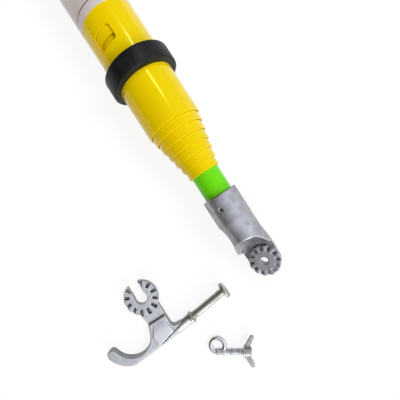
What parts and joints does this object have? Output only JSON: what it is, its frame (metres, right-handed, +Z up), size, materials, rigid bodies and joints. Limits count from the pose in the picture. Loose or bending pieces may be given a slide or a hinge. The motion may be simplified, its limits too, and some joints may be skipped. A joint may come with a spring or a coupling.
{
  "type": "telescopic hot stick",
  "caption": "Telescoping insulated pole of nested fibreglass tubes with a splined cast head, a bolt-on pull hook with a prong, and an eyebolt with a wing nut.",
  "frame": {"origin": "middle of the butt cap's flat end, on the stick's axis", "axes": "+X along the stick from the butt to the head, +Z up from the ground it lies on, +Y to the side of the head away from the loose hook"},
  "size_m": [1.7537, 0.2581, 0.078],
  "materials": {
    "yellow_fibreglass": "glossy pultruded fibreglass, yellow",
    "green_fibreglass": "glossy pultruded fibreglass, fluorescent green",
    "black_rubber": "moulded, matt",
    "cast_aluminium": "sand cast and tumbled",
    "bright_steel": "turned, satin",
    "zinc_steel": "bright zinc plate",
    "pin_steel": "rolled spring steel",
    "spring_steel": "bright strip",
    "button_plastic": "moulded nylon"
  },
  "bodies": {
    "outer_section": {"section_1": "yellow_fibreglass", "rubber_ring": "black_rubber", "butt_cap": "black_rubber"},
    "inner_section_2": {"section_2": "yellow_fibreglass", "button_spring_2": "spring_steel"},
    "button_2": {"lock_button_2": "button_plastic"},
    "inner_section_3": {"section_3": "yellow_fibreglass", "button_spring_3": "spring_steel"},
    "button_3": {"lock_button_3": "button_plastic"},
    "inner_section_4": {"section_4": "yellow_fibreglass", "button_spring_4": "spring_steel"},
    "button_4": {"lock_button_4": "button_plastic"},
    "inner_section_5": {"section_5": "yellow_fibreglass", "button_spring_5": "spring_steel"},
    "button_5": {"lock_button_5": "button_plastic"},
    "inner_section_6": {"section_6": "yellow_fibreglass", "button_spring_6": "spring_steel"},
    "button_6": {"lock_button_6": "button_plastic"},
    "inner_section_7": {"section_7": "yellow_fibreglass", "button_spring_7": "spring_steel"},
    "button_7": {"lock_button_7": "button_plastic"},
    "inner_section_8": {"section_8": "green_fibreglass", "button_spring_8": "spring_steel", "head_casting": "cast_aluminium", "roll_pin": "pin_steel"},
    "button_8": {"lock_button_8": "button_plastic"},
    "hook": {"hook_casting": "cast_aluminium", "prong": "bright_steel"},
    "bolt": {"eye_bolt": "zinc_steel"},
    "washer": {"washer": "zinc_steel"},
    "wing_nut": {"wing_nut": "zinc_steel"}
  },
  "joints": [
    {"name": "section_2_slide", "type": "slide", "parent": "outer_section", "child": "inner_section_2", "axis": [1, 0, 0], "range_m": [0, 1.2935]},
    {"name": "section_3_slide", "type": "slide", "parent": "inner_section_2", "child": "inner_section_3", "axis": [1, 0, 0], "range_m": [0, 1.2615]},
    {"name": "section_4_slide", "type": "slide", "parent": "inner_section_3", "child": "inner_section_4", "axis": [1, 0, 0], "range_m": [0, 1.2295]},
    {"name": "section_5_slide", "type": "slide", "parent": "inner_section_4", "child": "inner_section_5", "axis": [1, 0, 0], "range_m": [0, 1.1975]},
    {"name": "section_6_slide", "type": "slide", "parent": "inner_section_5", "child": "inner_section_6", "axis": [1, 0, 0], "range_m": [0, 1.1655]},
    {"name": "section_7_slide", "type": "slide", "parent": "inner_section_6", "child": "inner_section_7", "axis": [1, 0, 0], "range_m": [0, 1.1335]},
    {"name": "section_8_slide", "type": "slide", "parent": "inner_section_7", "child": "inner_section_8", "axis": [1, 0, 0], "range_m": [0, 1.1015]},
    {"name": "button_2_press", "type": "slide", "parent": "inner_section_2", "child": "button_2", "axis": [0, -0.4147, 0.91], "range_m": [-0.0015, 0], "stiffness_N_per_m": 400, "springref_m": 0.0025, "deforming": ["button_spring_2"]},
    {"name": "button_3_press", "type": "slide", "parent": "inner_section_3", "child": "button_3", "axis": [0, -0.4147, 0.91], "range_m": [-0.0015, 0], "stiffness_N_per_m": 400, "springref_m": 0.0025, "deforming": ["button_spring_3"]},
    {"name": "button_4_press", "type": "slide", "parent": "inner_section_4", "child": "button_4", "axis": [0, -0.4147, 0.91], "range_m": [-0.0015, 0], "stiffness_N_per_m": 400, "springref_m": 0.0025, "deforming": ["button_spring_4"]},
    {"name": "button_5_press", "type": "slide", "parent": "inner_section_5", "child": "button_5", "axis": [0, -0.4147, 0.91], "range_m": [-0.0015, 0], "stiffness_N_per_m": 400, "springref_m": 0.0025, "deforming": ["button_spring_5"]},
    {"name": "button_6_press", "type": "slide", "parent": "inner_section_6", "child": "button_6", "axis": [0, -0.4147, 0.91], "range_m": [-0.0015, 0], "stiffness_N_per_m": 400, "springref_m": 0.0025, "deforming": ["button_spring_6"]},
    {"name": "button_7_press", "type": "slide", "parent": "inner_section_7", "child": "button_7", "axis": [0, -0.4147, 0.91], "range_m": [-0.0015, 0], "stiffness_N_per_m": 400, "springref_m": 0.0025, "deforming": ["button_spring_7"]},
    {"name": "button_8_press", "type": "slide", "parent": "inner_section_8", "child": "button_8", "axis": [0, -0.4147, 0.91], "range_m": [-0.0015, 0], "stiffness_N_per_m": 400, "springref_m": 0.0025, "deforming": ["button_spring_8"]},
    {"name": "hook_lift", "type": "slide", "parent": "outer_section", "child": "hook", "axis": [0, 0, 1], "range_m": [0, 0.15]},
    {"name": "bolt_lift", "type": "slide", "parent": "outer_section", "child": "bolt", "axis": [0, 0, 1], "range_m": [0, 0.15]},
    {"name": "washer_travel", "type": "slide", "parent": "bolt", "child": "washer", "axis": [-0.4981, -0.8628, -0.086], "range_m": [0, 0.0184]},
    {"name": "wing_nut_turn", "type": "hinge", "parent": "washer", "child": "wing_nut", "pos_m": [1.73188, -0.07529, -0.032], "axis": [-0.4981, -0.8628, -0.086], "range_deg": [0, 4681.4]}
  ],
  "couplings": [
    {"joint": "washer_travel", "follows": "wing_nut_turn", "m_per_rad": 0.00022459}
  ]
}
